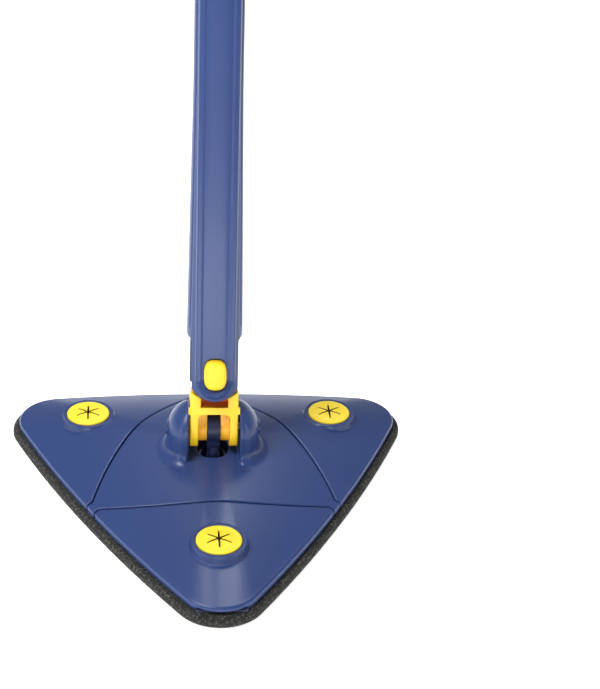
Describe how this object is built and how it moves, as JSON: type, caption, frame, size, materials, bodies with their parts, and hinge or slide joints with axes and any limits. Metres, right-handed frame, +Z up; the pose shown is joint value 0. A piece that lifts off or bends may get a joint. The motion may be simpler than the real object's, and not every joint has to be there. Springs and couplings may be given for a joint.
{
  "type": "swivel flat mop",
  "caption": "Triangular swivel floor mop: folding wings with star-slit cloth grips on a plush pad, a two-axis swivel joint, and a screwed tube pole with grip and hanging cap.",
  "frame": {"origin": "on the floor, under the middle of the triangular head", "axes": "+Z up, -Y towards the front wing, +X towards the right wing seen from the front; the pole leans towards +Y"},
  "size_m": [0.2998, 0.4634, 1.3057],
  "materials": {
    "blue_plastic": "satin moulded plastic",
    "navy_plastic": "satin moulded plastic",
    "yellow_plastic": "satin moulded plastic",
    "soft_yellow": "soft moulded rubber",
    "steel": "polished tube",
    "screw_steel": "plain",
    "spring_steel": "drawn wire",
    "plush": "long plush pile with a black binding",
    "hook_tape": "hook tape",
    "grip_grey": "soft-touch moulded plastic",
    "inner_plastic": "moulded plastic"
  },
  "bodies": {
    "head": {"centre_plate": "blue_plastic", "centre_base": "navy_plastic", "centre_screws": "screw_steel", "centre_hook_tape": "hook_tape", "centre_pad": "plush", "front_hinge_pin": "screw_steel", "right_hinge_pin": "screw_steel", "left_hinge_pin": "screw_steel", "tilt_pin": "screw_steel", "left_pin_cap": "blue_plastic", "right_pin_cap": "blue_plastic"},
    "front_flap": {"front_wing": "blue_plastic", "front_wing_base": "navy_plastic", "front_cloth_grip": "soft_yellow", "front_wing_screws": "screw_steel", "front_hook_tape": "hook_tape", "front_pad": "plush"},
    "right_flap": {"right_wing": "blue_plastic", "right_wing_base": "navy_plastic", "right_cloth_grip": "soft_yellow", "right_wing_screws": "screw_steel", "right_hook_tape": "hook_tape", "right_pad": "plush"},
    "left_flap": {"left_wing": "blue_plastic", "left_wing_base": "navy_plastic", "left_cloth_grip": "soft_yellow", "left_wing_screws": "screw_steel", "left_hook_tape": "hook_tape", "left_pad": "plush"},
    "swivel_yoke": {"yoke": "yellow_plastic"},
    "pole": {"swing_pin": "screw_steel", "neck_front_shell": "blue_plastic", "neck_back_shell": "blue_plastic", "neck_screws": "screw_steel", "button_spring": "spring_steel", "tube_socket": "navy_plastic", "lower_tube": "steel", "lower_joint_plug": "inner_plastic", "lower_joint_nut": "inner_plastic", "lower_collar": "yellow_plastic", "middle_tube": "steel", "upper_joint_plug": "inner_plastic", "upper_joint_nut": "inner_plastic", "upper_collar": "yellow_plastic", "upper_tube": "steel", "hand_grip": "grip_grey", "end_cap": "yellow_plastic"},
    "button": {"lock_button": "yellow_plastic"}
  },
  "joints": [
    {"name": "yoke_tilt", "type": "hinge", "parent": "head", "child": "swivel_yoke", "pos_m": [0, 0, 0.05], "axis": [1, 0, 0], "range_deg": [-67, 93]},
    {"name": "neck_swing", "type": "hinge", "parent": "swivel_yoke", "child": "pole", "pos_m": [0, 0.0108, 0.09677], "axis": [0, 0.9744, -0.225], "range_deg": [-88, 88]},
    {"name": "lock_button_press", "type": "slide", "parent": "pole", "child": "button", "axis": [0, 0.9744, -0.225], "range_m": [0, 0.003], "stiffness_N_per_m": 600, "springref_m": -0.002},
    {"name": "front_flap_fold", "type": "hinge", "parent": "head", "child": "front_flap", "pos_m": [0, -0.062, 0.0113], "axis": [1, 0, 0], "range_deg": [0, 60]},
    {"name": "right_flap_fold", "type": "hinge", "parent": "head", "child": "right_flap", "pos_m": [0.05369, 0.031, 0.0113], "axis": [-0.5, 0.866, 0], "range_deg": [0, 60]},
    {"name": "left_flap_fold", "type": "hinge", "parent": "head", "child": "left_flap", "pos_m": [-0.05369, 0.031, 0.0113], "axis": [-0.5, -0.866, 0], "range_deg": [0, 60]}
  ]
}
